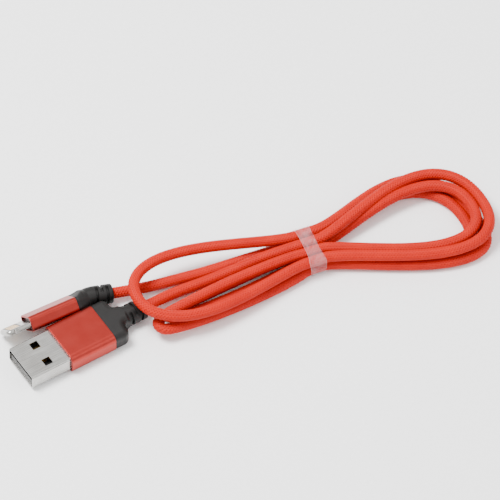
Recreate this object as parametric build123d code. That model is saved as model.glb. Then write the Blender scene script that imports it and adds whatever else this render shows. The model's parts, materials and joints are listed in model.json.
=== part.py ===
from build123d import *
import math
import os

# A braided charging cable, wound into a hank that a clear band ties. Its ends are a USB-A
# plug and a flat eight-contact phone plug. Millimetres; +Z is up and the cable lies on Z = 0.
# The origin is the middle of the USB-A sleeve's flat underside, and +X runs from that
# plug's mouth to its cord.

os.makedirs("parts", exist_ok=True)

# ---- Driving dimensions ----
CORD_D = 3.2  # over the braid
JACKET_D = 2.6  # the sheath under the braid
WIRE_D = 0.66  # one insulated wire
WIRE_SPREAD = 0.5  # from the cord's axis to a wire's axis, along Y and along Z
GAP = 0.05  # fitting clearance

# USB-A plug: X is measured from the middle of its sleeve
SLEEVE_L = 13.7
SLEEVE_W = 13.8
SLEEVE_T = 6.2
SLEEVE_R = 1.9
SLEEVE_WALL = 0.6
SHELL_W = 12.0
SHELL_T = 4.5
SHELL_R = 0.6
SHELL_WALL = 0.32
SHELL_OUT = 11.8  # how far the steel shell stands out of the sleeve
TONGUE_W = 11.2
TONGUE_T = 1.95
MOUTH_DEPTH = 9.2
WINDOW = 2.3
WINDOW_FROM_TIP = 6.3
WINDOW_Y = 3.1
CONTACT_W = 1.0
CONTACT_T = 0.25
CONTACTS = {"contact_power": (3.5, 1.6), "contact_data_minus": (1.0, 2.6),
            "contact_data_plus": (-1.0, 2.6), "contact_ground": (-3.5, 1.6)}
TAIL_D = 5.9
TAIL_END = 19.3

# Phone plug, in its own frame: X = 0 at its sleeve's mouth, X towards the cord
PHONE_L = 14.0
PHONE_W = 7.6
PHONE_T = 4.3
PHONE_R = 1.3
PHONE_WALL = 0.42
BLADE_W = 6.7
BLADE_T = 1.5
BLADE_OUT = 7.1  # how far the blade stands out of the sleeve
PAD_PITCH = 0.6
PHONE_TAIL_D = 5.3
PHONE_MOUTH = (-9.7, 11.45, 3.69)  # the mouth's centre in the part's frame
PHONE_EXIT = (14.9, 8.6, 3.0)  # where the cord leaves its strain relief, in the part's frame
PHONE_YAW = -3.5
PHONE_ROLL = -44.0  # it leans on the USB-A sleeve with its near edge up

# The hank: A runs along the tied bundle, B to its left, from the middle of the tie
TIE_AT = (66.7, -7.7)
TIE_ANGLE = -10.5
BAND_W = 4.2
BAND_T = 0.25
WAIST_HALF = 4.0
WAIST_W = 12.9
WAIST_T = 6.4
HANK_T = 6.4  # two cords high
LOOP_R = CORD_D / 2

USB_Z = SLEEVE_T / 2
TIP_X = -SLEEVE_L / 2 - SHELL_OUT
SHELL_END = -0.8
REAR_X = SLEEVE_L / 2
MOULD_END = REAR_X - 0.85
INNER_FLOOR = USB_Z - SHELL_T / 2 + SHELL_WALL
TONGUE_TOP = INNER_FLOOR + TONGUE_T


# ---- Where the phone plug lies ----
heading = math.radians(PHONE_YAW)
lean = math.radians(PHONE_ROLL)
PHONE_PLANE = Plane(
    origin=PHONE_MOUTH,
    x_dir=(math.cos(heading), math.sin(heading), 0),
    z_dir=(math.sin(lean) * math.sin(heading), -math.sin(lean) * math.cos(heading), math.cos(lean)),
)
exit_point = PHONE_PLANE.to_local_coords(Vector(*PHONE_EXIT))
PHONE_BEND = [(PHONE_L + 0.2, 0, 0), (PHONE_L + 5.0, 0, 0), (exit_point.X, exit_point.Y, exit_point.Z)]
exit_run = exit_point - Vector(*PHONE_BEND[1])
PHONE_EXIT_PLANE = Plane(origin=exit_point, x_dir=exit_run, z_dir=Vector(0, 0, 1).cross(exit_run).cross(exit_run) * -1)


def past_exit(distance):
    """A point on the line of the phone plug's cord, that far beyond its strain relief."""
    local = exit_point + exit_run.normalized() * distance
    point = PHONE_PLANE.from_local_coords(local)
    return point.X, point.Y, point.Z


# ---- Helpers ----
def bar(x0, x1, width, height, radius=0.0, y=0.0, z=0.0):
    """A bar along X with a rounded section, from x0 to x1, centred on y and z."""
    plane = Plane(origin=(x0, y, z), x_dir=(0, 1, 0), z_dir=(1, 0, 0))
    section = RectangleRounded(width, height, radius) if radius else Rectangle(width, height)
    return extrude(plane * section, amount=x1 - x0)


def rod(x0, x1, diameter, y=0.0, z=0.0):
    """A round bar along X from x0 to x1."""
    plane = Plane(origin=(x0, y, z), x_dir=(0, 1, 0), z_dir=(1, 0, 0))
    return extrude(plane * Circle(diameter / 2), amount=x1 - x0)


def eased(solid, end, radius):
    """The solid with the edge of its end face, the one nearest to a point, rounded."""
    face = solid.faces().sort_by_distance(Vector(*end))[0]
    return fillet(face.edges(), radius)


def block(x0, x1, y0, y1, z0, z1):
    """A plain block between two corners."""
    centre = ((x0 + x1) / 2, (y0 + y1) / 2, (z0 + z1) / 2)
    return Location(centre) * Box(x1 - x0, y1 - y0, z1 - z0)


def bend_radii(points):
    """One radius per corner: 0.45 of the shorter run over the tangent of half the turn."""
    radii = []
    for before, here, after in zip(points, points[1:], points[2:]):
        first = Vector(*here) - Vector(*before)
        second = Vector(*after) - Vector(*here)
        half_turn = math.radians(first.get_angle(second)) / 2
        radii.append(0.45 * min(first.length, second.length) / math.tan(half_turn))
    return radii


def tube(points, diameter):
    """A round tube along straight runs that are joined by tangent arcs."""
    path = FilletPolyline(*points, radius=bend_radii(points))
    start = Plane(origin=path @ 0, z_dir=path % 0)
    return sweep(start * Circle(diameter / 2), path=path), path.length


def cord_lead(name, points):
    """A stretch of cord that isn't wound, with its bends and its volume printed."""
    solid, length = tube(points, CORD_D)
    share = solid.volume / (math.pi * (CORD_D / 2) ** 2 * length)
    print(name, "length", round(length, 1), "volume / (section x length)", round(share, 4),
          "bend radii", [round(radius, 1) for radius in bend_radii(points)])
    return solid


def end_rounded(solid, radius):
    """The solid with the outer edges of its two end faces rounded."""
    faces = solid.faces().sort_by(Axis.X)
    edges = faces[0].outer_wire().edges() + faces[-1].outer_wire().edges()
    return fillet(edges, radius)


def slots(stations, diameter, depth, width, z):
    """Pairs of slots across a strain relief: at its sides, then top and bottom, by turns."""
    cutters = []
    for number, x in enumerate(stations):
        ring = rod(x - width / 2, x + width / 2, diameter + 2, z=z)
        ring -= rod(x - width, x + width, diameter - 2 * depth, z=z)
        web = diameter * 0.42
        if number % 2:
            ring -= block(x - width, x + width, -diameter, diameter, z - web / 2, z + web / 2)
        else:
            ring -= block(x - width, x + width, -web / 2, web / 2, z - diameter, z + diameter)
        cutters.append(ring)
    return cutters


def blend(x0, x1, first, last, z=0.0):
    """A body that changes from one rounded section to another: each is width, height, radius."""
    faces = []
    for x, (width, height, radius) in ((x0, first), (x1, last)):
        plane = Plane(origin=(x, 0, z), x_dir=(0, 1, 0), z_dir=(1, 0, 0))
        faces.append(plane * RectangleRounded(width, height, radius))
    return loft(faces)


def wires(x0, x1, starts, z_start, z_end):
    """Four wires from their solder joints at x0 to the end of the cord's sheath at x1."""
    made = []
    run = (x1 - x0) * 0.25
    for y, side, level in starts:
        end_y = side * WIRE_SPREAD
        end_z = z_end + level * WIRE_SPREAD
        points = [(x0, y, z_start), (x0 + run, y, z_start), (x1 - run, end_y, end_z), (x1, end_y, end_z)]
        made.append(tube(points, WIRE_D)[0])
    return made


# ---- USB-A plug ----
def usb_shell():
    shell = bar(TIP_X, SHELL_END, SHELL_W, SHELL_T, SHELL_R, z=USB_Z)
    front = shell.faces().sort_by(Axis.X)[0].outer_wire().edges()
    shell = chamfer(front, 0.12)
    shell -= bar(TIP_X - 1, SHELL_END + 1, SHELL_W - 2 * SHELL_WALL, SHELL_T - 2 * SHELL_WALL, 0.3, z=USB_Z)
    x = TIP_X + WINDOW_FROM_TIP
    for y in (WINDOW_Y, -WINDOW_Y):
        shell -= Location((x, y, USB_Z)) * Box(WINDOW, WINDOW, SHELL_T + 2)
    return shell


def usb_tongue(contacts):
    z = INNER_FLOOR + TONGUE_T / 2
    tongue = bar(TIP_X + 0.4, SHELL_END, TONGUE_W, TONGUE_T, 0.2, z=z)
    tongue += bar(TIP_X + MOUTH_DEPTH, SHELL_END, TONGUE_W, SHELL_T - 2 * SHELL_WALL - 0.1, 0.2, z=USB_Z)
    for contact in contacts:
        tongue -= contact
    return tongue


def usb_contact(y, from_tip):
    z0 = TONGUE_TOP - CONTACT_T
    return block(TIP_X + from_tip, SHELL_END + 1.7, y - CONTACT_W / 2, y + CONTACT_W / 2, z0, TONGUE_TOP)


def usb_solder():
    joints = []
    for y, _ in CONTACTS.values():
        joint = block(SHELL_END + 0.7, SHELL_END + 1.6, y - 0.45, y + 0.45, TONGUE_TOP, TONGUE_TOP + 0.7)
        joints.append(fillet(joint.faces().sort_by(Axis.Z)[-1].edges(), 0.2))
    return joints


def usb_sleeve():
    sleeve = bar(-REAR_X, REAR_X, SLEEVE_W, SLEEVE_T, SLEEVE_R, z=USB_Z)
    sleeve = end_rounded(sleeve, 0.22)
    bore_w = SLEEVE_W - 2 * SLEEVE_WALL
    bore_t = SLEEVE_T - 2 * SLEEVE_WALL
    return sleeve - bar(-REAR_X - 1, REAR_X + 1, bore_w, bore_t, SLEEVE_R - SLEEVE_WALL, z=USB_Z)


def usb_mould(inside):
    width = SLEEVE_W - 2 * SLEEVE_WALL - GAP
    height = SLEEVE_T - 2 * SLEEVE_WALL - GAP
    mould = bar(SHELL_END, MOULD_END, width, height, SLEEVE_R - SLEEVE_WALL, z=USB_Z)
    for piece in inside:
        mould -= piece
    return mould


def usb_tail(cord_end):
    half = SLEEVE_W / 2 - 0.1
    neck = TAIL_D / 2
    shoulder = REAR_X + 4.5
    right = [(REAR_X, -half), (shoulder, -half), (shoulder + 0.3, -neck), (shoulder + 1.6, -neck)]
    outline = right + [(x, -y) for x, y in reversed(right)]
    plan = make_face(Polyline(*outline, close=True))
    plan = fillet(plan.vertices().filter_by(lambda v: abs(v.X - shoulder) < 0.01), 1.9)
    plan = fillet(plan.vertices().filter_by(lambda v: abs(v.X - shoulder - 0.3) < 0.01), 1.2)
    tail = Location((0, 0, USB_Z - neck)) * extrude(plan, amount=TAIL_D)
    rims = tail.faces().filter_by(Axis.Z).edges()
    rims = rims.filter_by(lambda edge: abs((edge @ 0.5).X - REAR_X) > 0.01)
    rims = rims.filter_by(lambda edge: abs((edge @ 0.5).X - shoulder - 1.6) > 0.01)
    tail = fillet(rims, 1.8)
    tail += blend(shoulder + 1.6, shoulder + 2.3, (TAIL_D, TAIL_D, 1.8), (TAIL_D, TAIL_D, neck - 0.01), USB_Z)
    tail += eased(rod(shoulder + 2.3, TAIL_END, TAIL_D, z=USB_Z), (TAIL_END, 0, USB_Z), 0.4)
    plug_w = SLEEVE_W - 2 * SLEEVE_WALL - GAP
    plug_t = SLEEVE_T - 2 * SLEEVE_WALL - GAP
    tail += bar(MOULD_END, REAR_X, plug_w, plug_t, SLEEVE_R - SLEEVE_WALL, z=USB_Z)
    for cutter in slots([14.6, 16.0, 17.5], TAIL_D, 0.75, 0.8, USB_Z):
        tail -= cutter
    return tail - cord_end


# ---- Phone plug, in its own frame ----
def phone_blade():
    length = BLADE_OUT + 0.9
    middle = (-BLADE_OUT + 0.9) / 2
    blade = Location((middle, 0, 0)) * Box(length, BLADE_W, BLADE_T)
    corners = blade.edges().filter_by(Axis.Z).group_by(Axis.X)[0]
    blade = fillet(corners, 1.3)
    long_edges = blade.edges().filter_by(Axis.X)
    blade = fillet(long_edges, BLADE_T * 0.45)
    for side in (1, -1):
        notch = Location((-BLADE_OUT + 2.75, side * (BLADE_W / 2 + 0.35), 0)) * Cylinder(0.75, BLADE_T + 1)
        blade -= notch
    blade += block(0.9, 2.5, -2.8, 2.8, -BLADE_T / 2, BLADE_T / 2)
    window = Location((-BLADE_OUT + 2.85, 0, 0)) * Box(3.8, 5.2, BLADE_T + 1)
    window = fillet(window.edges().filter_by(Axis.Z), 0.4)
    return blade - window


def phone_pads(side):
    """Eight contact pads on one face of the blade, side 1 for the top and -1 for the bottom."""
    pads = []
    middle = -BLADE_OUT + 2.85
    outside = side * (BLADE_T / 2 - 0.03)
    for number in range(8):
        y = (number - 3.5) * PAD_PITCH
        z0, z1 = sorted((outside, outside - side * 0.15))
        pads.append(block(middle - 1.45, middle + 1.45, y - 0.19, y + 0.19, z0, z1))
    return pads


def phone_core(pads):
    core = Location((-BLADE_OUT + 2.85, 0, 0)) * Box(3.8 - 0.02, 5.2 - 0.02, BLADE_T - 0.06)
    core = fillet(core.edges().filter_by(Axis.Z), 0.4)
    for pad in pads:
        core -= pad
    return core


def phone_bore(x0, x1, shrink=0.0):
    width = PHONE_W - 2 * PHONE_WALL - shrink
    height = PHONE_T - 2 * PHONE_WALL - shrink
    return bar(x0, x1, width, height, PHONE_R - PHONE_WALL)


def phone_sleeve():
    sleeve = end_rounded(bar(0, PHONE_L, PHONE_W, PHONE_T, PHONE_R), 0.18)
    return sleeve - phone_bore(-1, PHONE_L + 1)


def phone_collar(blade):
    return phone_bore(0.7, 2.5, GAP) - blade


def phone_board():
    return block(2.5, 9.0, -2.7, 2.7, -0.3, 0.3)


def phone_chip():
    return block(3.6, 6.0, -1.2, 1.2, 0.3, 0.95)


def phone_solder():
    joints = []
    for y in (1.8, 0.6, -0.6, -1.8):
        joint = block(7.9, 8.7, y - 0.35, y + 0.35, 0.3, 0.95)
        joints.append(fillet(joint.faces().sort_by(Axis.Z)[-1].edges(), 0.15))
    return joints


def phone_mould(inside):
    mould = phone_bore(2.5, PHONE_L - 1.1, GAP)
    for piece in inside:
        mould -= piece
    return mould


def phone_tail(cord_end):
    """The strain relief gives a little where the cord pulls it down towards the hank."""
    collar = (PHONE_W - 0.15, PHONE_T - 0.1, 1.25)
    middle = (PHONE_TAIL_D + 0.9, PHONE_TAIL_D + 0.15, 2.3)
    tail = bar(PHONE_L, PHONE_L + 0.8, *collar)
    tail += blend(PHONE_L + 0.8, PHONE_L + 2.6, collar, middle)
    inside = PHONE_TAIL_D - 0.5
    tail += blend(PHONE_L + 2.6, PHONE_L + 4.4, middle, (inside, inside, inside / 2 - 0.01))
    bent = [(PHONE_L + 2.65, 0, 0)] + PHONE_BEND[1:]
    tail += eased(tube(bent, PHONE_TAIL_D)[0], PHONE_BEND[-1], 0.4)
    tail += phone_bore(PHONE_L - 1.1, PHONE_L, GAP)
    for cutter in slots([-4.5, -3.05, -1.6], PHONE_TAIL_D, 0.7, 0.8, 0):
        tail -= PHONE_EXIT_PLANE * cutter
    return tail - cord_end


# ---- Cord pieces inside the plugs ----
def cord_end(sheath_x, braid_x, points, z=0.0):
    """The cord inside a plug: bare sheath first, then braided up to the strain relief's end."""
    sheath = rod(sheath_x, braid_x, JACKET_D, z=z)
    if len(points) == 1:
        return sheath + rod(braid_x, points[0], CORD_D, z=z)
    return sheath + rod(braid_x, points[0][0], CORD_D, z=z) + tube(points, CORD_D)[0]


def crimp(x0, x1, diameter, z=0.0):
    return rod(x0, x1, diameter, z=z) - rod(x0 - 1, x1 + 1, JACKET_D, z=z)


# ---- The hank and its tie ----
HANK_PLANE = Plane(origin=(*TIE_AT, 0), x_dir=(math.cos(math.radians(TIE_ANGLE)), math.sin(math.radians(TIE_ANGLE)), 0),
                   z_dir=(0, 0, 1))
LOW = BAND_T + GAP + LOOP_R
HIGH = LOW + CORD_D
# The ring right of the tie and its eye: how far each reaches, and how wide it is far and near.
RING_START = 3.0
RING_WIDEST = 32.0
RING_REACH = 51.0
RING_FAR = 15.0
RING_NEAR = -18.0
EYE_START = 10.0
EYE_REACH = 43.0
EYE_FAR = 6.0
EYE_NEAR = -10.0
# The group left of the tie, under the leads, and the high loop over it.
GROUP_REACH = 47.0
GROUP_FAR = -0.4
GROUP_NEAR = -12.0
LOOP_REACH = 50.0
LOOP_FAR = 9.5
LOOP_NEAR = -10.0
LOOP_TOP = 8.8

NECK = WAIST_W / 2 - 0.05
RING = [(RING_START, NECK), (20, RING_FAR - 2), (RING_WIDEST, RING_FAR), (45, 10), (RING_REACH, 0),
        (RING_REACH, -6), (44, -15), (RING_WIDEST, RING_NEAR), (14, -13), (RING_START, -NECK)]
EYE = [(EYE_START, -1), (20, 4), (RING_WIDEST, EYE_FAR), (EYE_REACH - 3, 2), (EYE_REACH, -4),
       (EYE_REACH - 2, -8), (RING_WIDEST, EYE_NEAR), (20, -6.5)]
GROUP = [(-3, -NECK), (-3, GROUP_FAR), (-24, GROUP_FAR), (-36, -2), (-GROUP_REACH, -7),
         (1 - GROUP_REACH, -11), (-40, GROUP_NEAR), (-18, -9)]
BIG_LOOP = [(-3, 4.7, HIGH - 0.1), (-9, 5, 5.3), (-26, LOOP_FAR, 7), (-42, LOOP_FAR, 8.4), (-LOOP_REACH, 4, LOOP_TOP),
            (-LOOP_REACH, -4, 8.4), (-43, -9, 7), (-28, LOOP_NEAR, 4.6)]


def slab(outline, radius, z0, z1):
    """A flat slab between two heights, from an outline whose corners are rounded."""
    face = make_face(Polyline(*outline, close=True))
    face = fillet(face.vertices(), radius)
    return Location((0, 0, z0)) * extrude(face, amount=z1 - z0)


def hank():
    """The outer shape of the wound cord: a ring right of the tie, a group and one high loop left."""
    lift = BAND_T + GAP
    body = bar(-WAIST_HALF, WAIST_HALF, WAIST_W, WAIST_T, 1.6, z=lift + WAIST_T / 2)
    ring = slab(RING, 2.2, 0, HANK_T) - slab(EYE, 1.6, -1, HANK_T + 1)
    group = slab(GROUP, 1.2, 0, HANK_T)
    loop, length = tube(BIG_LOOP, CORD_D)
    print("big loop length", round(length, 1), "bend radii", [round(r, 1) for r in bend_radii(BIG_LOOP)])
    return HANK_PLANE * (body + ring + group + loop)


def tie_band():
    lift = BAND_T + GAP
    z = lift + WAIST_T / 2
    band = bar(-BAND_W / 2, BAND_W / 2, WAIST_W + 2 * BAND_T, WAIST_T + 2 * BAND_T, 1.6 + BAND_T, z=z)
    band -= bar(-BAND_W, BAND_W, WAIST_W, WAIST_T, 1.6, z=z)
    return HANK_PLANE * band


def at_hank(a, b, z):
    """A point given along and across the bundle, in the part's frame."""
    point = HANK_PLANE.from_local_coords(Vector(a, b, z))
    return point.X, point.Y, point.Z


# ---- Writing the parts ----
USB_STARTS = [(3.5, 1, 1), (1.0, 1, -1), (-1.0, -1, -1), (-3.5, -1, 1)]
PHONE_STARTS = [(1.8, 1, 1), (0.6, 1, -1), (-0.6, -1, -1), (-1.8, -1, 1)]
WIRE_NAMES = ["wire_red", "wire_white", "wire_green", "wire_black"]

PARTS = {}

contacts = {name: usb_contact(y, from_tip) for name, (y, from_tip) in CONTACTS.items()}
usb_cord_end = cord_end(4.9, 8.6, [TAIL_END], USB_Z)
usb_crimp = crimp(5.0, 5.9, 4.0, USB_Z)
usb_wires = wires(SHELL_END + 1.6, 4.9, USB_STARTS, TONGUE_TOP + 0.35, USB_Z)
usb_joints = usb_solder()
PARTS["usb_shell"] = usb_shell()
PARTS["usb_tongue"] = usb_tongue(contacts.values())
for name, contact in contacts.items():
    PARTS["usb_" + name] = contact
PARTS["usb_solder"] = Compound(children=usb_joints)
for name, wire in zip(WIRE_NAMES, usb_wires):
    PARTS["usb_" + name] = wire
PARTS["usb_inner_mould"] = usb_mould([*contacts.values(), *usb_joints, *usb_wires, usb_cord_end, usb_crimp])
PARTS["usb_sleeve"] = usb_sleeve()
PARTS["usb_tail"] = usb_tail(usb_cord_end)
PARTS["usb_crimp"] = usb_crimp
PARTS["usb_cord_end"] = usb_cord_end

blade = phone_blade()
pads_top = phone_pads(1)
pads_bottom = phone_pads(-1)
phone_end = cord_end(11.2, 13.4, PHONE_BEND)
phone_crimp = crimp(11.4, 12.5, 3.3)
phone_wires = wires(8.7, 11.2, PHONE_STARTS, 0.66, 0.0)
phone_joints = phone_solder()
board = phone_board()
chip = phone_chip()
phone = {
    "phone_blade": blade,
    "phone_contacts_top": Compound(children=pads_top),
    "phone_contacts_bottom": Compound(children=pads_bottom),
    "phone_core": phone_core(pads_top + pads_bottom),
    "phone_collar": phone_collar(blade),
    "phone_board": board,
    "phone_chip": chip,
    "phone_solder": Compound(children=phone_joints),
    "phone_inner_mould": phone_mould([board, chip, *phone_joints, *phone_wires, phone_end, phone_crimp]),
    "phone_sleeve": phone_sleeve(),
    "phone_tail": phone_tail(phone_end),
    "phone_crimp": phone_crimp,
    "phone_cord_end": phone_end,
}
for name, wire in zip(WIRE_NAMES, phone_wires):
    phone["phone_" + name] = wire
for name, piece in phone.items():
    PARTS[name] = PHONE_PLANE * piece

usb_route = [
    (TAIL_END, 0, USB_Z),
    (24.8, 0, USB_Z),
    (31.5, 0.1, 2.3),
    (39.0, -0.9, 1.75),
    at_hank(-20.0, 1.7, 2.2),
    at_hank(-11.5, 1.6, HIGH),
    at_hank(-WAIST_HALF, 1.6, HIGH),
]
phone_route = [
    past_exit(0),
    past_exit(4.8),
    (25.5, 5.6, 2.1),
    (32.0, 4.2, 1.8),
    (41.0, 2.0, 1.75),
    (49.0, 0.6, 1.75),
    at_hank(-11.5, 4.8, LOW),
    at_hank(-WAIST_HALF, 4.8, LOW),
]
PARTS["usb_lead"] = cord_lead("usb_lead", usb_route)
PARTS["phone_lead"] = cord_lead("phone_lead", phone_route)
PARTS["cord_hank"] = hank()
PARTS["tie_band"] = tie_band()

for name, shape in PARTS.items():
    export_step(shape, f"parts/{name}.step")
print(len(PARTS), "parts written")
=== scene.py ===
# %% [markdown]
# # A braided charging cable
# This lesson dresses a finished CAD model of a charging cable. Its cord is wound into a hank
# that a strip of clear film ties, and it ends in a USB-A plug and a flat phone plug. The
# model's parts load first and stay where they are. Everything made here is in metres.

# %% Load the frame
import json
import math

import bpy
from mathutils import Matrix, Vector


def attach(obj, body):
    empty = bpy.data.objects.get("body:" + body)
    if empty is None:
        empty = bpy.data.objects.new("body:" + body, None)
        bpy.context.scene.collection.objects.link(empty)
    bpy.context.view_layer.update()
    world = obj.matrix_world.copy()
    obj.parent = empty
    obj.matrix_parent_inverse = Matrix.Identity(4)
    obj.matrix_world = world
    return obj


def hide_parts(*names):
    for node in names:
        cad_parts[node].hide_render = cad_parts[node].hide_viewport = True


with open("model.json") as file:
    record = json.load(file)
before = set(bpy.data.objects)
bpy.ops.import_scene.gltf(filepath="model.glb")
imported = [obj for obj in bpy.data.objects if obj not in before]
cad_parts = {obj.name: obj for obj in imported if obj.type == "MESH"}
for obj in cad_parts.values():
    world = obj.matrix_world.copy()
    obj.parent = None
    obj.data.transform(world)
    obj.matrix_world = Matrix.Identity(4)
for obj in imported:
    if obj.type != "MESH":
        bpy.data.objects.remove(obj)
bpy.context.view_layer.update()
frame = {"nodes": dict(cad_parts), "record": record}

# %% [markdown]
# ## Units and colours
# Small goods are thought of in millimetres, so one constant turns them to metres. Colours are
# written as sRGB hex values, the way a colour picker shows them, and Blender wants linear
# light, so one function converts them.

# %% Units and colours
MM = 0.001


def linear(hex_colour):
    """An sRGB hex colour as linear RGBA."""
    channels = [int(hex_colour[i:i + 2], 16) / 255 for i in (1, 3, 5)]
    light = [c / 12.92 if c <= 0.04045 else ((c + 0.055) / 1.055) ** 2.4 for c in channels]
    return (*light, 1.0)


print("mid orange in linear light:", [round(c, 3) for c in linear("#e03a1c")])

# %% [markdown]
# ## The camera
# Small products are shot from far off with a long lens, which keeps parallel edges parallel.
# An orthographic camera would do the same, but a very long lens behaves like every other
# camera when the view changes. It looks down 52 degrees from the plugs' near side.

# %% The camera
LENS = 812
SENSOR = 36
DISTANCE = 3.0
AZIMUTH = math.radians(-32.3)
ELEVATION = math.radians(52)
LOOK_AT = Vector((53.7, 1.3, 3.0)) * MM

towards_camera = Vector((
    math.sin(AZIMUTH) * math.cos(ELEVATION),
    -math.cos(AZIMUTH) * math.cos(ELEVATION),
    math.sin(ELEVATION),
))
camera_data = bpy.data.cameras.new("camera")
camera_data.lens = LENS
camera_data.sensor_width = SENSOR
camera_data.clip_start = 0.1
camera_data.clip_end = 20
camera = bpy.data.objects.new("camera", camera_data)
camera.location = LOOK_AT + towards_camera * DISTANCE
camera.rotation_mode = "QUATERNION"
camera.rotation_quaternion = (-towards_camera).to_track_quat("-Z", "Y")
bpy.context.collection.objects.link(camera)
bpy.context.scene.camera = camera
print("view width in mm:", round(DISTANCE * SENSOR / LENS * 1000, 1))

# %% [markdown]
# ## Where the cord runs
# The cord is one piece of rope from plug to plug, so it is one smooth curve. Near the plugs its
# points are listed one by one, as the CAD tubes' are. Between them the cord goes seven times round
# a bend: four on the right of the tie and three on its left. Eight strands lie side by side in
# the tie, four across and two high, and each bend joins two of those places.
#
# A bend could be drawn by hand too, but then seven sets of points would have to stay smooth. A
# formula is easier: a bend leaves its place in the tie, swells out and comes round its far end.
# The bends differ in how far they reach and swell, where their far end lies, and how high their
# two sides run. Those numbers are in millimetres, from the middle of the tie.

# %% The bends of the hank
THICK = 3.2
LOW = 1.9
HIGH = 5.1
TIE = Vector((66.7, -7.7, 0))
TIE_TURN = math.radians(-10.5)
TIE_HALF = 3.0
POINTS_PER_BEND = 20


def from_tie(along, across, height):
    """A point in metres, from millimetres along the bundle, across it and up."""
    c, s = math.cos(TIE_TURN), math.sin(TIE_TURN)
    return Vector((TIE.x + along * c - across * s, TIE.y + along * s + across * c, height)) * MM


def swell(u, blunt):
    """0 in the tie and at the bend's end, 1 at the peak. A low blunt makes the end square."""
    if not 1e-6 < u < 1 - 1e-6:
        return 0.0
    rise = blunt * PEAK / (1 - PEAK)
    return (u / PEAK) ** rise * ((1 - u) / (1 - PEAK)) ** blunt


def bend(side, reach, start, stop, end, going, coming, blunt):
    """The points of one bend, from its place in the tie to its end and back to the next place.
    Places are (across, height). going and coming are (farthest across, height halfway)."""
    points = []
    for k in range(POINTS_PER_BEND + 1):
        turn = k / POINTS_PER_BEND
        u = (1 - math.cos(2 * math.pi * turn)) / 2
        place, arm = (start, going) if turn <= 0.5 else (stop, coming)
        bulge = arm[0] - place[0] * (1 - PEAK) - end[0] * PEAK
        across = place[0] * (1 - u) + end[0] * u + bulge * swell(u, blunt)
        height = place[1] * (1 - u) ** 2 + 2 * arm[1] * u * (1 - u) + end[1] * u ** 2
        points.append(from_tie(side * (TIE_HALF + (reach - TIE_HALF) * u), across, height))
    return points


# %% [markdown]
# On the right, two bends lie on top of two others. The outer one on top sets the size: it
# reaches 49 mm from the tie and is 27 mm wide. The inner one lies one cord inside it. The
# lower pair reaches less far but is a little wider, so it shows past the top pair. Its inner
# bend lies one cord inside its outer one too, and a little more on the near side. On the left,
# one big loop lies over two narrow folds. The long fold ends one cord short of the loop, and
# the short fold a little more than one cord short of the long one. Both folds are pinched far
# tighter than such a cord would bend on its own.

# %% The seven bends
PEAK = 0.75
WIDE = 0.45
NARROW = 0.2
LOOSE = 1.0
TOP_REACH, TOP_FAR, TOP_NEAR = 49.0, 11.5, -15.5
LOW_REACH, LOW_FAR, LOW_NEAR = TOP_REACH - 2.5, TOP_FAR + 1.5, TOP_NEAR - 1.0
LOOP_REACH, LOOP_FAR, LOOP_NEAR = 50.0, 9.5, -11.0
LOOP_TOP = 8.6
PLACES = (4.8, 1.6, -1.6, -4.8)
low = [(across, LOW) for across in PLACES]
high = [(across, HIGH) for across in PLACES]

inner_low = dict(side=1, reach=LOW_REACH - THICK, start=low[0], stop=low[2], end=(-6, 1.7),
                 going=(LOW_FAR - THICK, 1.6), coming=(LOW_NEAR + THICK + LOOSE, 1.6), blunt=WIDE)
short_fold = dict(side=-1, reach=LOOP_REACH - 2 * THICK - LOOSE, start=low[2], stop=low[1],
                  end=(-4.5, 1.7), going=(-6.4, 1.6), coming=(-2.5, 1.6), blunt=NARROW)
inner_top = dict(side=1, reach=TOP_REACH - THICK, start=low[1], stop=high[2], end=(-4, 5),
                 going=(TOP_FAR - THICK, 5), coming=(TOP_NEAR + THICK, 4), blunt=WIDE)
long_fold = dict(side=-1, reach=LOOP_REACH - THICK, start=high[2], stop=low[3], end=(-8.5, 4),
                 going=(-5, 6.5), coming=(-10.5, 1.2), blunt=NARROW)
outer_low = dict(side=1, reach=LOW_REACH, start=low[3], stop=high[0], end=(-10, 1.7),
                 going=(LOW_NEAR, 1.6), coming=(LOW_FAR, 3), blunt=WIDE)
big_loop = dict(side=-1, reach=LOOP_REACH, start=high[0], stop=high[3], end=(-0.5, LOOP_TOP),
                going=(LOOP_FAR, 7), coming=(LOOP_NEAR, 4.6), blunt=WIDE)
outer_top = dict(side=1, reach=TOP_REACH, start=high[3], stop=high[1], end=(-5, 5),
                 going=(TOP_NEAR, 5), coming=(TOP_FAR, 6), blunt=WIDE)
BENDS = (inner_low, short_fold, inner_top, long_fold, outer_low, big_loop, outer_top)
PHONE_EXIT = Vector((14.9, 8.6, 3.0)) * MM
USB_EXIT = Vector((19.3, 0.0, 3.1)) * MM
phone_points = [PHONE_EXIT] + [Vector(p) * MM for p in (
    (19.4, 7.2, 2.6), (25.5, 5.6, 2.1), (32.0, 4.2, 1.8), (41.0, 2.0, 1.75), (49.0, 0.6, 1.75))]
phone_points.append(from_tie(-11.5, 4.8, LOW))
usb_points = [from_tie(-11.5, 1.6, HIGH), from_tie(-20.0, 2.2, 2.6)] + [Vector(p) * MM for p in (
    (39.0, -0.7, 1.9), (31.5, 0.1, 2.3), (24.8, 0.0, 3.1))] + [USB_EXIT]
route = phone_points + [p for numbers in BENDS for p in bend(**numbers)] + usb_points
print("points on the cord's route:", len(route))

# %% [markdown]
# ## The cord's line
# A NURBS curve takes those points as its control points and runs smoothly between them. Its
# order of 3 keeps it close to them, and its ends reach the first and last point. The curve is
# only a guide here: the braid is wound round it in a later step.

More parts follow.
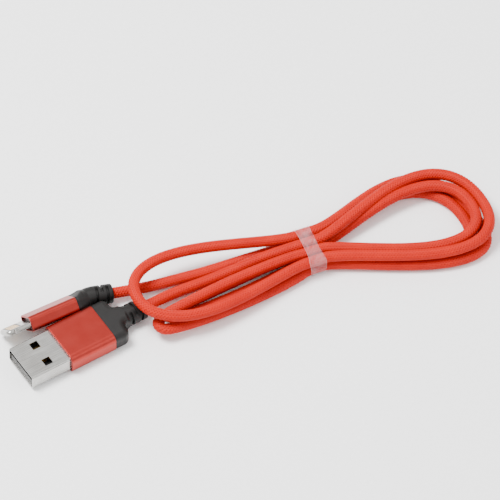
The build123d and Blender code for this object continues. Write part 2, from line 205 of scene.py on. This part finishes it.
# %% A curve through the route
def guide_curve(name, points):
    """A NURBS curve with these control points, with no thickness."""
    data = bpy.data.curves.new(name, "CURVE")
    data.dimensions = "3D"
    data.resolution_u = 8
    spline = data.splines.new("NURBS")
    spline.points.add(len(points) - 1)
    for slot, point in zip(spline.points, points):
        slot.co = (*point, 1.0)
    spline.order_u = 3
    spline.use_endpoint_u = True
    guide = bpy.data.objects.new(name, data)
    bpy.context.collection.objects.link(guide)
    return guide


def even_points(guide, step):
    """Points at even steps along a guide curve, read from Blender's own evaluation of it."""
    bpy.context.view_layer.update()
    mesh = bpy.data.meshes.new_from_object(guide)
    line = [v.co.copy() for v in mesh.vertices]
    bpy.data.meshes.remove(mesh)
    spans = [(b - a).length for a, b in zip(line, line[1:])]
    total = sum(spans)
    count = round(total / step)
    points, passed, k = [line[0]], 0.0, 0
    for n in range(1, count):
        target = total * n / count
        while passed + spans[k] < target:
            passed += spans[k]
            k += 1
        points.append(line[k].lerp(line[k + 1], (target - passed) / spans[k]))
    return points + [line[-1]], total


cord_guide = guide_curve("cord_guide", route)
STEP = 0.4 * MM
cord_line, cord_length = even_points(cord_guide, STEP)
print("cord length in m:", round(cord_length, 4), "samples:", len(cord_line))

# %% [markdown]
# ## The braid
# The cord's sleeve is a tube of nylon yarn, braided on a machine. Half of its strands wind one
# way and half the other, and each goes over one and under the next. Here every strand is
# a flat ribbon that follows a helix round the cord's line and rises and dips as it crosses the
# others. A bump map would give the same colours but a smooth outline.
#
# A frame is carried along the line first: two directions across it that turn as little as
# possible, so that the helices don't twist where the line bends. A strand goes once round the
# cord in 16 samples of the line, 6.4 mm, so it crosses another strand at each sample: over it
# at one, under it at the next.

# %% Carry a frame along the line
def carried_frames(points):
    """Two directions across the line at each point, turned as little as possible."""
    frames = []
    side = None
    for k, here in enumerate(points):
        ahead = (points[min(k + 1, len(points) - 1)] - points[max(k - 1, 0)]).normalized()
        if side is None:
            side = ahead.orthogonal()
        side = (side - ahead * side.dot(ahead)).normalized()
        frames.append((side, ahead.cross(side)))
    return frames


cord_frames = carried_frames(cord_line)
print("frames along the cord:", len(cord_frames))

# %% Wind the strands
STRANDS = 8
RIBBON = 0.84 * MM
CORE = 1.28 * MM
RISE = 0.22 * MM
STEPS_PER_LAY = 16


def braid_mesh(name, points, frames):
    """A closed core, and flat strands that wind both ways over it."""
    vertices, faces, kinds = [], [], []
    sides = 12
    for here, (side, other) in zip(points, frames):
        for k in range(sides):
            angle = 2 * math.pi * k / sides
            vertices.append(here + (side * math.cos(angle) + other * math.sin(angle)) * CORE)
    for ring in range(len(points) - 1):
        for k in range(sides):
            a, b = ring * sides + k, ring * sides + (k + 1) % sides
            faces.append((a, b, b + sides, a + sides))
            kinds.append(1)
    across = ((-0.5, -0.10), (-0.3, 0.04), (0.0, 0.09), (0.3, 0.04), (0.5, -0.10))
    for way in (1, -1):
        for strand in range(STRANDS):
            first = len(vertices)
            for n, (here, (side, other)) in enumerate(zip(points, frames)):
                angle = 2 * math.pi * (way * n / STEPS_PER_LAY + strand / STRANDS)
                over = (n % 2 == 0) == (way > 0)
                height = CORE + (RISE if over else 0)
                for shift, bulge in across:
                    turned = angle + shift * RIBBON / CORE
                    out = side * math.cos(turned) + other * math.sin(turned)
                    vertices.append(here + out * (height + bulge * MM))
            count = len(across)
            for ring in range(len(points) - 1):
                for k in range(count - 1):
                    a = first + ring * count + k
                    faces.append((a, a + 1, a + 1 + count, a + count))
                    kinds.append(0)
    mesh = bpy.data.meshes.new(name)
    mesh.from_pydata([tuple(v) for v in vertices], [], faces)
    mesh.polygons.foreach_set("material_index", kinds)
    mesh.shade_smooth()
    piece = bpy.data.objects.new(name, mesh)
    bpy.context.collection.objects.link(piece)
    return piece


cord = braid_mesh("braided_cord", cord_line, cord_frames)
bpy.data.objects.remove(cord_guide)
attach(cord, "root")
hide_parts("usb_lead", "phone_lead", "cord_hank")
print("braid faces:", len(cord.data.polygons))

# %% [markdown]
# ## The tie
# A strip of clear film, 4.2 mm wide, goes once round the hank's waist. It is drawn tight, so it
# isn't a neat ring: it follows the bundle's rounded oblong and puckers. Its edges flare a
# little. A cloth simulation could do this, but a few waves on a formula are enough here.

# %% The film band
BAND_HALF = 2.1
AROUND = 96
ACROSS = 8
BAND_SKIN = 0.12
WAIST_ACROSS = 6.72
WAIST_UP = 3.38
WAIST_MIDDLE = 3.5
CORNER = 0.42
PUCKER = 0.09
FLARE = 0.10
CRINKLE = 0.05
LEAN = 0.22


def band_outline(angle):
    """Half width and height of the waist at an angle round it, in mm, with soft corners."""
    c, s = math.cos(angle), math.sin(angle)
    return (
        math.copysign(abs(c) ** CORNER, c) * WAIST_ACROSS,
        WAIST_MIDDLE + math.copysign(abs(s) ** CORNER, s) * WAIST_UP,
    )


band_vertices = []
for row in range(ACROSS + 1):
    t = row / ACROSS * 2 - 1
    for k in range(AROUND):
        angle = 2 * math.pi * k / AROUND
        across, height = band_outline(angle)
        pucker = PUCKER * math.sin(9 * angle + 2.1 * t) * math.cos(4 * angle - 1.3 * t)
        flare = FLARE * t ** 4 + pucker + CRINKLE * math.cos(23 * angle + 3 * t)
        length = math.hypot(across, height - WAIST_MIDDLE)
        across += across / length * flare
        height += (height - WAIST_MIDDLE) / length * flare
        lean = LEAN * math.sin(3 * angle) * t
        band_vertices.append(from_tie(t * BAND_HALF + lean, across, max(height, 0.06)))
band_faces = []
for row in range(ACROSS):
    for k in range(AROUND):
        a, b = row * AROUND + k, row * AROUND + (k + 1) % AROUND
        band_faces.append((a, b, b + AROUND, a + AROUND))
band_mesh = bpy.data.meshes.new("film_band")
band_mesh.from_pydata([tuple(v) for v in band_vertices], [], band_faces)
band_mesh.shade_smooth()
band = bpy.data.objects.new("film_band", band_mesh)
bpy.context.collection.objects.link(band)
thickness = band.modifiers.new("film thickness", "SOLIDIFY")
thickness.thickness = BAND_SKIN * MM
thickness.offset = 0
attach(band, "root")
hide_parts("tie_band")
print("band faces:", len(band_mesh.polygons))

# %% [markdown]
# ## Finishes
# Every finish is a node tree with a Principled shader at its end. One function adds a node with
# its settings and links, so each recipe below reads as a list of steps. Object coordinates are
# in metres, so a noise scale of 2 / MM has two features to the millimetre, each about 0.5 mm.

# %% The node helper
def new_finish(name):
    """An empty material with its shader and output, and the function that adds nodes to it."""
    material = bpy.data.materials.new(name)
    material.use_nodes = True
    tree = material.node_tree
    tree.nodes.clear()
    output = tree.nodes.new("ShaderNodeOutputMaterial")
    shader = tree.nodes.new("ShaderNodeBsdfPrincipled")
    tree.links.new(shader.outputs["BSDF"], output.inputs["Surface"])

    def add(kind, settings=None, **inputs):
        node = tree.nodes.new("ShaderNode" + kind)
        for key, value in (settings or {}).items():
            setattr(node, key, value)
        connect(node, **inputs)
        return node

    def connect(node, **inputs):
        for key, value in inputs.items():
            key = key.replace("_", " ")
            socket = node.inputs[int(key[1:])] if key[0] == "n" and key[1:].isdigit() else node.inputs[key]
            if isinstance(value, bpy.types.NodeSocket):
                tree.links.new(value, socket)
            else:
                socket.default_value = value

    return material, shader, add, connect


def ramp(add, factor, *stops):
    """A colour ramp from (position, hex colour) stops."""
    node = add("ValToRGB", Fac=factor)
    elements = node.color_ramp.elements
    while len(elements) < len(stops):
        elements.new(0.5)
    for element, (position, colour) in zip(elements, stops):
        element.position = position
        element.color = linear(colour)
    return node.outputs["Color"]


def spread(add, value, low, high, start=0.3, stop=0.7):
    """A value between start and stop, spread over low to high."""
    node = add("MapRange", Value=value, From_Min=start, From_Max=stop, To_Min=low, To_Max=high)
    return node.outputs["Result"]


def bumped(add, height, depth, before=None):
    """A surface normal from a height pattern, with the real depth in metres."""
    inputs = {"Height": height, "Strength": 1.0, "Distance": depth}
    if before is not None:
        inputs["Normal"] = before
    return add("Bump", **inputs).outputs["Normal"]


print("finish helpers ready")

# %% [markdown]
# ### Woven nylon
# The yarn is bright orange-red and slightly glossy, because nylon filaments are smooth. A
# strand is a bundle of fine filaments, so its colour varies finely, and the dye is a little
# uneven in patches about 6 mm long. Light that grazes the cord picks out loose filaments,
# which the sheen gives. Real filaments are about 0.02 mm across. The fine pattern is drawn at
# about 0.15 mm, as anything finer would only turn to noise.

# %% Woven nylon
nylon, shader, add, connect = new_finish("braided_nylon_yarn")
where = add("TexCoord").outputs["Object"]
yarn = add("TexNoise", Vector=where, Scale=6.5 / MM, Detail=3.0, Roughness=0.6).outputs["Fac"]
patches = add("TexNoise", Vector=where, Scale=0.16 / MM, Detail=2.0).outputs["Fac"]
fine_colour = ramp(add, yarn, (0.30, "#a00b00"), (0.52, "#bc1500"), (0.75, "#d92a00"))
patch_colour = ramp(add, patches, (0.3, "#ffffff"), (0.7, "#e8c8bc"))
mixed = add("Mix", {"data_type": "RGBA", "blend_type": "MULTIPLY"}, n0=0.6, n6=fine_colour, n7=patch_colour)
connect(shader, Base_Color=mixed.outputs[2], Roughness=spread(add, yarn, 0.42, 0.62), IOR=1.53,
        Normal=bumped(add, yarn, 0.03 * MM))
connect(shader, Specular_IOR_Level=0.15, Sheen_Weight=0.08, Sheen_Roughness=0.4, Sheen_Tint=linear("#ff6a30"))
cord.data.materials.append(nylon)
print(nylon.name, len(nylon.node_tree.nodes), "nodes")

# %% [markdown]
# ### The cord under the braid
# Through the gaps between strands you see the sleeve's inner yarns in shade. The core stands for
# them, so its deep red of the same dye is painted shade.

# %% The core's finish
core, shader, add, connect = new_finish("painted_shade_of_inner_yarns")
where = add("TexCoord").outputs["Object"]
grain = add("TexNoise", Vector=where, Scale=3 / MM, Detail=2.0).outputs["Fac"]
# The core's dark reds are painted shade, for the inner yarns that the strands shade.
connect(shader, Base_Color=ramp(add, grain, (0.3, "#380200"), (0.7, "#540600")), Roughness=0.7, IOR=1.5,
        Normal=bumped(add, grain, 0.03 * MM))
cord.data.materials.append(core)
print(core.name, len(core.node_tree.nodes), "nodes")

# %% [markdown]
# ### Clear film
# The band is soft polythene film. It is clear but milky: most light passes straight through,
# and creases scatter the rest, unevenly. The cut edges catch the light and look whitest, so they
# have a finish of their own: a painted highlight, near-white and nearly opaque.

# %% Clear film
film, shader, add, connect = new_finish("clear_polythene_film")
where = add("TexCoord").outputs["Object"]
crease_noise = add("TexNoise", Vector=where, Scale=0.42 / MM, Detail=4.0, Roughness=0.65, Distortion=0.8)
creases = crease_noise.outputs["Fac"]
fine = add("TexNoise", Vector=where, Scale=2.2 / MM, Detail=2.0).outputs["Fac"]
connect(shader, Base_Color=ramp(add, creases, (0.35, "#dfe6ec"), (0.65, "#f6f9fb")), IOR=1.51,
        Roughness=spread(add, creases, 0.12, 0.34), Alpha=spread(add, creases, 0.02, 0.09),
        Normal=bumped(add, fine, 0.015 * MM, bumped(add, creases, 0.12 * MM)))
# The rim's near-white, nearly opaque colour is a painted highlight, for the light the cut edges catch.
edge, shader, add, connect = new_finish("film_edge_painted_highlight")
where = add("TexCoord").outputs["Object"]
edge_highlight_noise = add("TexNoise", Vector=where, Scale=0.9 / MM, Detail=3.0).outputs["Fac"]
connect(shader, Base_Color=ramp(add, edge_highlight_noise, (0.3, "#e9eef2"), (0.7, "#fbfcfd")), Roughness=0.4, IOR=1.51,
        Alpha=spread(add, edge_highlight_noise, 0.6, 0.9), Normal=bumped(add, edge_highlight_noise, 0.02 * MM))
band_mesh.materials.append(film)
band_mesh.materials.append(edge)
thickness.material_offset_rim = 1
print(film.name, len(film.node_tree.nodes), "nodes")

# %% [markdown]
# ### Orange anodised aluminium
# The sleeves are drawn aluminium tube, fine-blasted, dyed and sealed. Dyed oxide over metal
# stays metallic, with the dye as the metal's colour. Blasting leaves a satin texture of small
# dimples, about 0.17 mm across, and the drawing leaves faint lines along the tube.

# %% Anodised aluminium
anodised, shader, add, connect = new_finish("orange_anodised_aluminium")
where = add("TexCoord").outputs["Object"]
blasted = add("TexNoise", Vector=where, Scale=6 / MM, Detail=2.0).outputs["Fac"]
clouds = add("TexNoise", Vector=where, Scale=0.22 / MM, Detail=3.0).outputs["Fac"]
stretched = add("Mapping", Vector=where, Scale=(0.06 / MM, 4 / MM, 4 / MM)).outputs["Vector"]
drawn = add("TexNoise", Vector=stretched, Scale=1.0, Detail=2.0).outputs["Fac"]
connect(shader, Metallic=1.0, Base_Color=ramp(add, clouds, (0.3, "#98302a"), (0.7, "#9e3630")),
        Roughness=spread(add, blasted, 0.30, 0.42),
        Normal=bumped(add, drawn, 0.004 * MM, bumped(add, blasted, 0.008 * MM)))
print(anodised.name, len(anodised.node_tree.nodes), "nodes")

# %% [markdown]
# ### Nickel-plated steel
# The USB-A shell and the phone plug's blade are stamped from steel strip and nickel-plated.
# Rolling leaves fine lines along the strip. Each time the plug goes in and out it gains a few
# hairline scratches that run nearly the same way, so a second, sparser set is added.

# %% Nickel-plated steel
nickel, shader, add, connect = new_finish("nickel_plated_steel")
where = add("TexCoord").outputs["Object"]
strip = add("Mapping", Vector=where, Scale=(0.12 / MM, 5 / MM, 5 / MM)).outputs["Vector"]
rolled = add("TexNoise", Vector=strip, Scale=1.0, Detail=3.0).outputs["Fac"]
scratch_map = add("Mapping", Vector=where, Scale=(0.25 / MM, 2.5 / MM, 2.5 / MM), Rotation=(0.0, 0.0, 0.06))
scratches = add("TexNoise", Vector=scratch_map.outputs["Vector"], Scale=1.0, Detail=1.0).outputs["Fac"]
clouds = add("TexNoise", Vector=where, Scale=0.26 / MM, Detail=2.0).outputs["Fac"]
connect(shader, Metallic=1.0, Base_Color=ramp(add, clouds, (0.3, "#a9a7a3"), (0.7, "#b9b8b5")),
        Roughness=spread(add, rolled, 0.20, 0.34),
        Normal=bumped(add, scratches, 0.006 * MM, bumped(add, rolled, 0.004 * MM)))
print(nickel.name, len(nickel.node_tree.nodes), "nodes")

# %% [markdown]
# ### Black elastomer
# The strain reliefs are moulded from a soft rubbery plastic. The mould is spark-eroded, which
# leaves a fine matt grain, about 0.14 mm here, and handling leaves slightly shinier patches.

# %% Black elastomer
rubber, shader, add, connect = new_finish("black_moulded_elastomer")
where = add("TexCoord").outputs["Object"]
grain = add("TexNoise", Vector=where, Scale=7 / MM, Detail=2.0).outputs["Fac"]
handled = add("TexNoise", Vector=where, Scale=0.3 / MM, Detail=2.0).outputs["Fac"]
connect(shader, Base_Color=ramp(add, handled, (0.3, "#090706"), (0.7, "#0f0c0b")), IOR=1.5,
        Roughness=spread(add, handled, 0.45, 0.62), Specular_IOR_Level=0.3,
        Normal=bumped(add, grain, 0.02 * MM))
print(rubber.name, len(rubber.node_tree.nodes), "nodes")

# %% [markdown]
# ### The plain moulded and plated parts
# The rest of the parts are mostly hidden in the plugs. They share one recipe: a plastic or
# metal with a noise pattern that changes its colour, gloss and surface a little. What differs
# is in the table: the two colours, how metallic it is, its index of refraction, its roughness,
# the pattern's size and its depth, both in millimetres.

# %% Plain finishes
def plain(name, dark, light, metallic, ior, rough, size, depth):
    """A plain part's finish, from two colours and a noise pattern."""
    material, shader, add, connect = new_finish(name)
    where = add("TexCoord").outputs["Object"]
    pattern = add("TexNoise", Vector=where, Scale=1 / (size * MM), Detail=2.0).outputs["Fac"]
    connect(shader, Metallic=metallic, Roughness=spread(add, pattern, rough * 0.85, rough * 1.2),
            Base_Color=ramp(add, pattern, (0.3, dark), (0.7, light)),
            Normal=bumped(add, pattern, depth * MM))
    if metallic == 0:
        connect(shader, IOR=ior)
    return material


FINISHES = {
    "braid": core,
    "band": film,
    "anodised": anodised,
    "steel": nickel,
    "moulding": rubber,
    "insulator": plain("black_glass_filled_nylon", "#141311", "#1d1b19", 0, 1.53, 0.38, 0.3, 0.010),
    "inner_mould": plain("natural_polythene_moulding", "#d8d3c6", "#e8e4da", 0, 1.51, 0.45, 0.6, 0.010),
    "gold": plain("gold_plated_contact", "#e0ae55", "#eec070", 1, 1.5, 0.22, 0.25, 0.003),
    "solder": plain("tin_solder", "#a9a9a6", "#c4c4c2", 1, 1.5, 0.35, 0.3, 0.020),
    "board": plain("green_solder_mask", "#0c4a22", "#12602e", 0, 1.5, 0.30, 0.4, 0.006),
    "chip": plain("black_epoxy_chip", "#161616", "#202020", 0, 1.55, 0.55, 0.15, 0.008),
    "wire_red": plain("red_wire_insulation", "#b01212", "#c61a18", 0, 1.53, 0.32, 0.3, 0.006),
    "wire_white": plain("white_wire_insulation", "#dcdcd6", "#ecece8", 0, 1.53, 0.32, 0.3, 0.006),
    "wire_green": plain("green_wire_insulation", "#13753a", "#198a46", 0, 1.53, 0.32, 0.3, 0.006),
    "wire_black": plain("black_wire_insulation", "#141414", "#1e1e1e", 0, 1.53, 0.32, 0.3, 0.006),
}
print("finishes:", len(FINISHES))

# %% [markdown]
# ### Dress the parts
# The model's record says what every part is made of. A loop looks that up and gives the part
# the matching finish. A part that the cord or the film stands for gets one too, though it is
# hidden.

# %% Give every CAD part its finish
slots = {part["node"]: part["material_slot"] for part in frame["record"]["subparts"]}
for node, part in frame["nodes"].items():
    finish = FINISHES[slots[node]]
    for material_slot in part.material_slots:
        material_slot.material = finish
    if not part.material_slots:
        part.data.materials.append(finish)
print("dressed parts:", len(slots))

# %% [markdown]
# ## The studio
# A white paper sheet lies under the cable. The paper has a faint tooth. The light is soft: a
# bright white surround, a large softbox behind the plugs that shapes the cords, and a weaker
# one in front.

# %% Paper, surround and softboxes
floor_mesh = bpy.data.meshes.new("paper_floor")
floor_mesh.from_pydata([(-3, -3, 0), (3, -3, 0), (3, 3, 0), (-3, 3, 0)], [], [(0, 1, 2, 3)])
floor = bpy.data.objects.new("paper_floor", floor_mesh)
floor.location.z = -0.02 * MM
bpy.context.collection.objects.link(floor)
paper, shader, add, connect = new_finish("white_paper")
where = add("TexCoord").outputs["Object"]
tooth = add("TexNoise", Vector=where, Scale=0.9 / MM, Detail=3.0).outputs["Fac"]
connect(shader, Base_Color=ramp(add, tooth, (0.3, "#fbfbfb"), (0.7, "#ffffff")), Roughness=0.85,
        IOR=1.45, Normal=bumped(add, tooth, 0.01 * MM))
floor_mesh.materials.append(paper)

SURROUND = 1.25
world = bpy.data.worlds.new("studio_surround")
world.use_nodes = True
surround = world.node_tree.nodes["Background"]
surround.inputs["Color"].default_value = linear("#ffffff")
surround.inputs["Strength"].default_value = SURROUND
bpy.context.scene.world = world


def softbox(name, place, size, watts):
    """A square area light that faces the cable."""
    data = bpy.data.lights.new(name, "AREA")
    data.shape = "SQUARE"
    data.size = size
    data.energy = watts
    lamp = bpy.data.objects.new(name, data)
    lamp.location = place
    lamp.rotation_mode = "QUATERNION"
    lamp.rotation_quaternion = (LOOK_AT - Vector(place)).to_track_quat("-Z", "Y")
    bpy.context.collection.objects.link(lamp)


softbox("key_softbox", (-0.15, 0.15, 0.60), 0.25, 9.0)
softbox("front_softbox", (0.40, -0.40, 0.45), 0.40, 1.6)
print("surround strength:", SURROUND)
